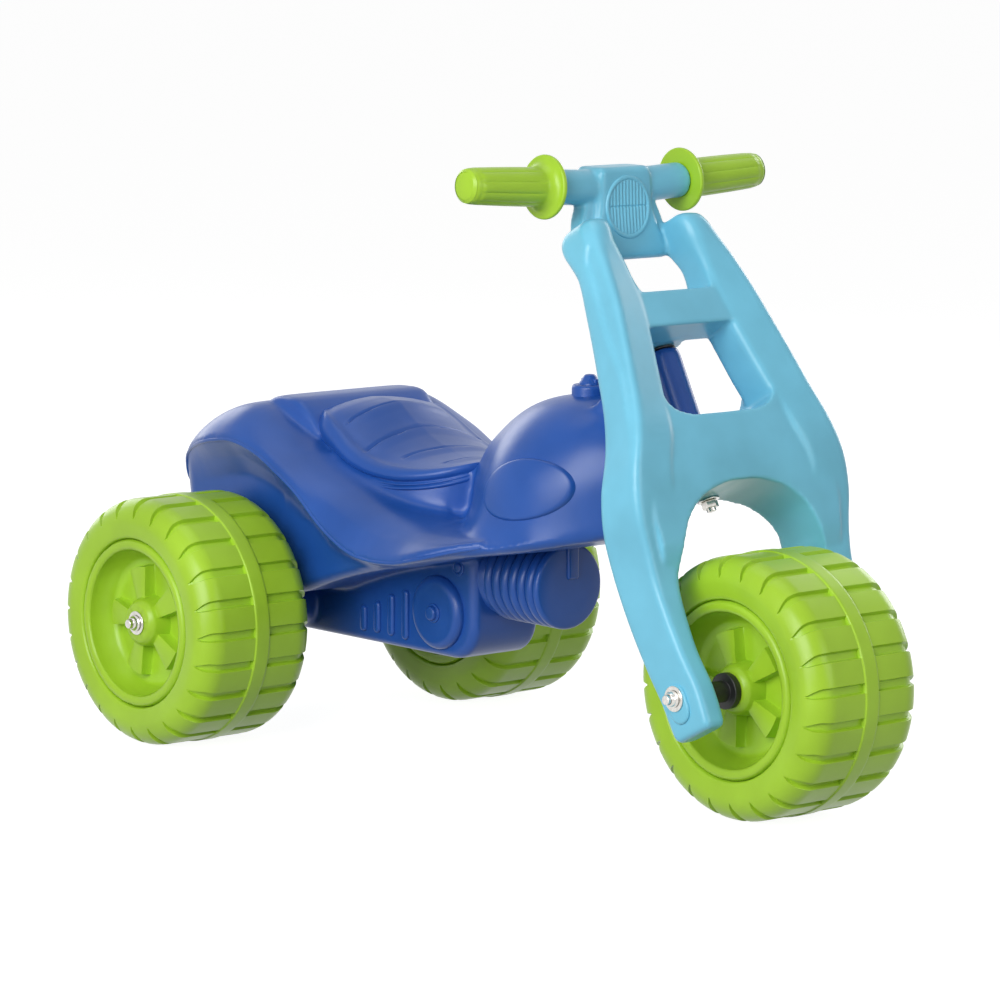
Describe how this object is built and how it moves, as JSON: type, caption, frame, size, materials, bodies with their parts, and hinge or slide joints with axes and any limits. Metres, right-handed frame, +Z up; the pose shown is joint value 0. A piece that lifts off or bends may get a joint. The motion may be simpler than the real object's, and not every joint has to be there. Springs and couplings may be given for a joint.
{
  "type": "ride-on trike",
  "caption": "Foot-to-floor child's trike with a moulded seat and tank body, a swivelling twin-leg fork with handlebar grips, and wide treaded wheels on steel axles.",
  "frame": {"origin": "on the ground, midway between the front and rear axles and between the two sides", "axes": "+Z up, +Y towards the rear wheels, -Y the way the trike faces, X across, +X its left"},
  "size_m": [0.4758, 0.789, 0.5348],
  "materials": {
    "body_blue": "satin moulded",
    "fork_blue": "satin moulded",
    "lime": "satin moulded",
    "steel": "bright zinc plated",
    "black": "plain moulded"
  },
  "bodies": {
    "frame": {"body_shell": "body_blue", "rear_axle": "steel", "rear_cap_right": "steel", "rear_cap_left": "steel", "rear_washer_right": "steel", "rear_washer_left": "steel", "rear_spacer_right": "black", "rear_spacer_left": "black", "steering_bush_top": "black", "steering_bush_bottom": "black"},
    "fork": {"fork": "fork_blue", "grip_right": "lime", "grip_left": "lime", "front_axle": "steel", "front_cap_right": "steel", "front_cap_left": "steel", "front_washer_right": "steel", "front_washer_left": "steel", "steering_bolt": "steel", "steering_nut": "steel", "steering_washer_top": "steel", "steering_washer_bottom": "steel", "front_spacer_right": "black", "front_spacer_left": "black"},
    "front_wheel": {"front_wheel": "lime"},
    "rear_wheel_right": {"rear_wheel_right": "lime"},
    "rear_wheel_left": {"rear_wheel_left": "lime"}
  },
  "joints": [
    {"name": "steering", "type": "hinge", "parent": "frame", "child": "fork", "pos_m": [0, -0.27607, 0.10561], "axis": [0, 0.4617, 0.887], "range_deg": [-35, 35]},
    {"name": "front_wheel_spin", "type": "hinge", "parent": "fork", "child": "front_wheel", "pos_m": [0, -0.2845, 0.11], "axis": [1, 0, 0], "continuous": true},
    {"name": "rear_wheel_right_spin", "type": "hinge", "parent": "frame", "child": "rear_wheel_right", "pos_m": [-0.17325, 0.2845, 0.11], "axis": [1, 0, 0], "continuous": true},
    {"name": "rear_wheel_left_spin", "type": "hinge", "parent": "frame", "child": "rear_wheel_left", "pos_m": [0.17325, 0.2845, 0.11], "axis": [1, 0, 0], "continuous": true}
  ]
}
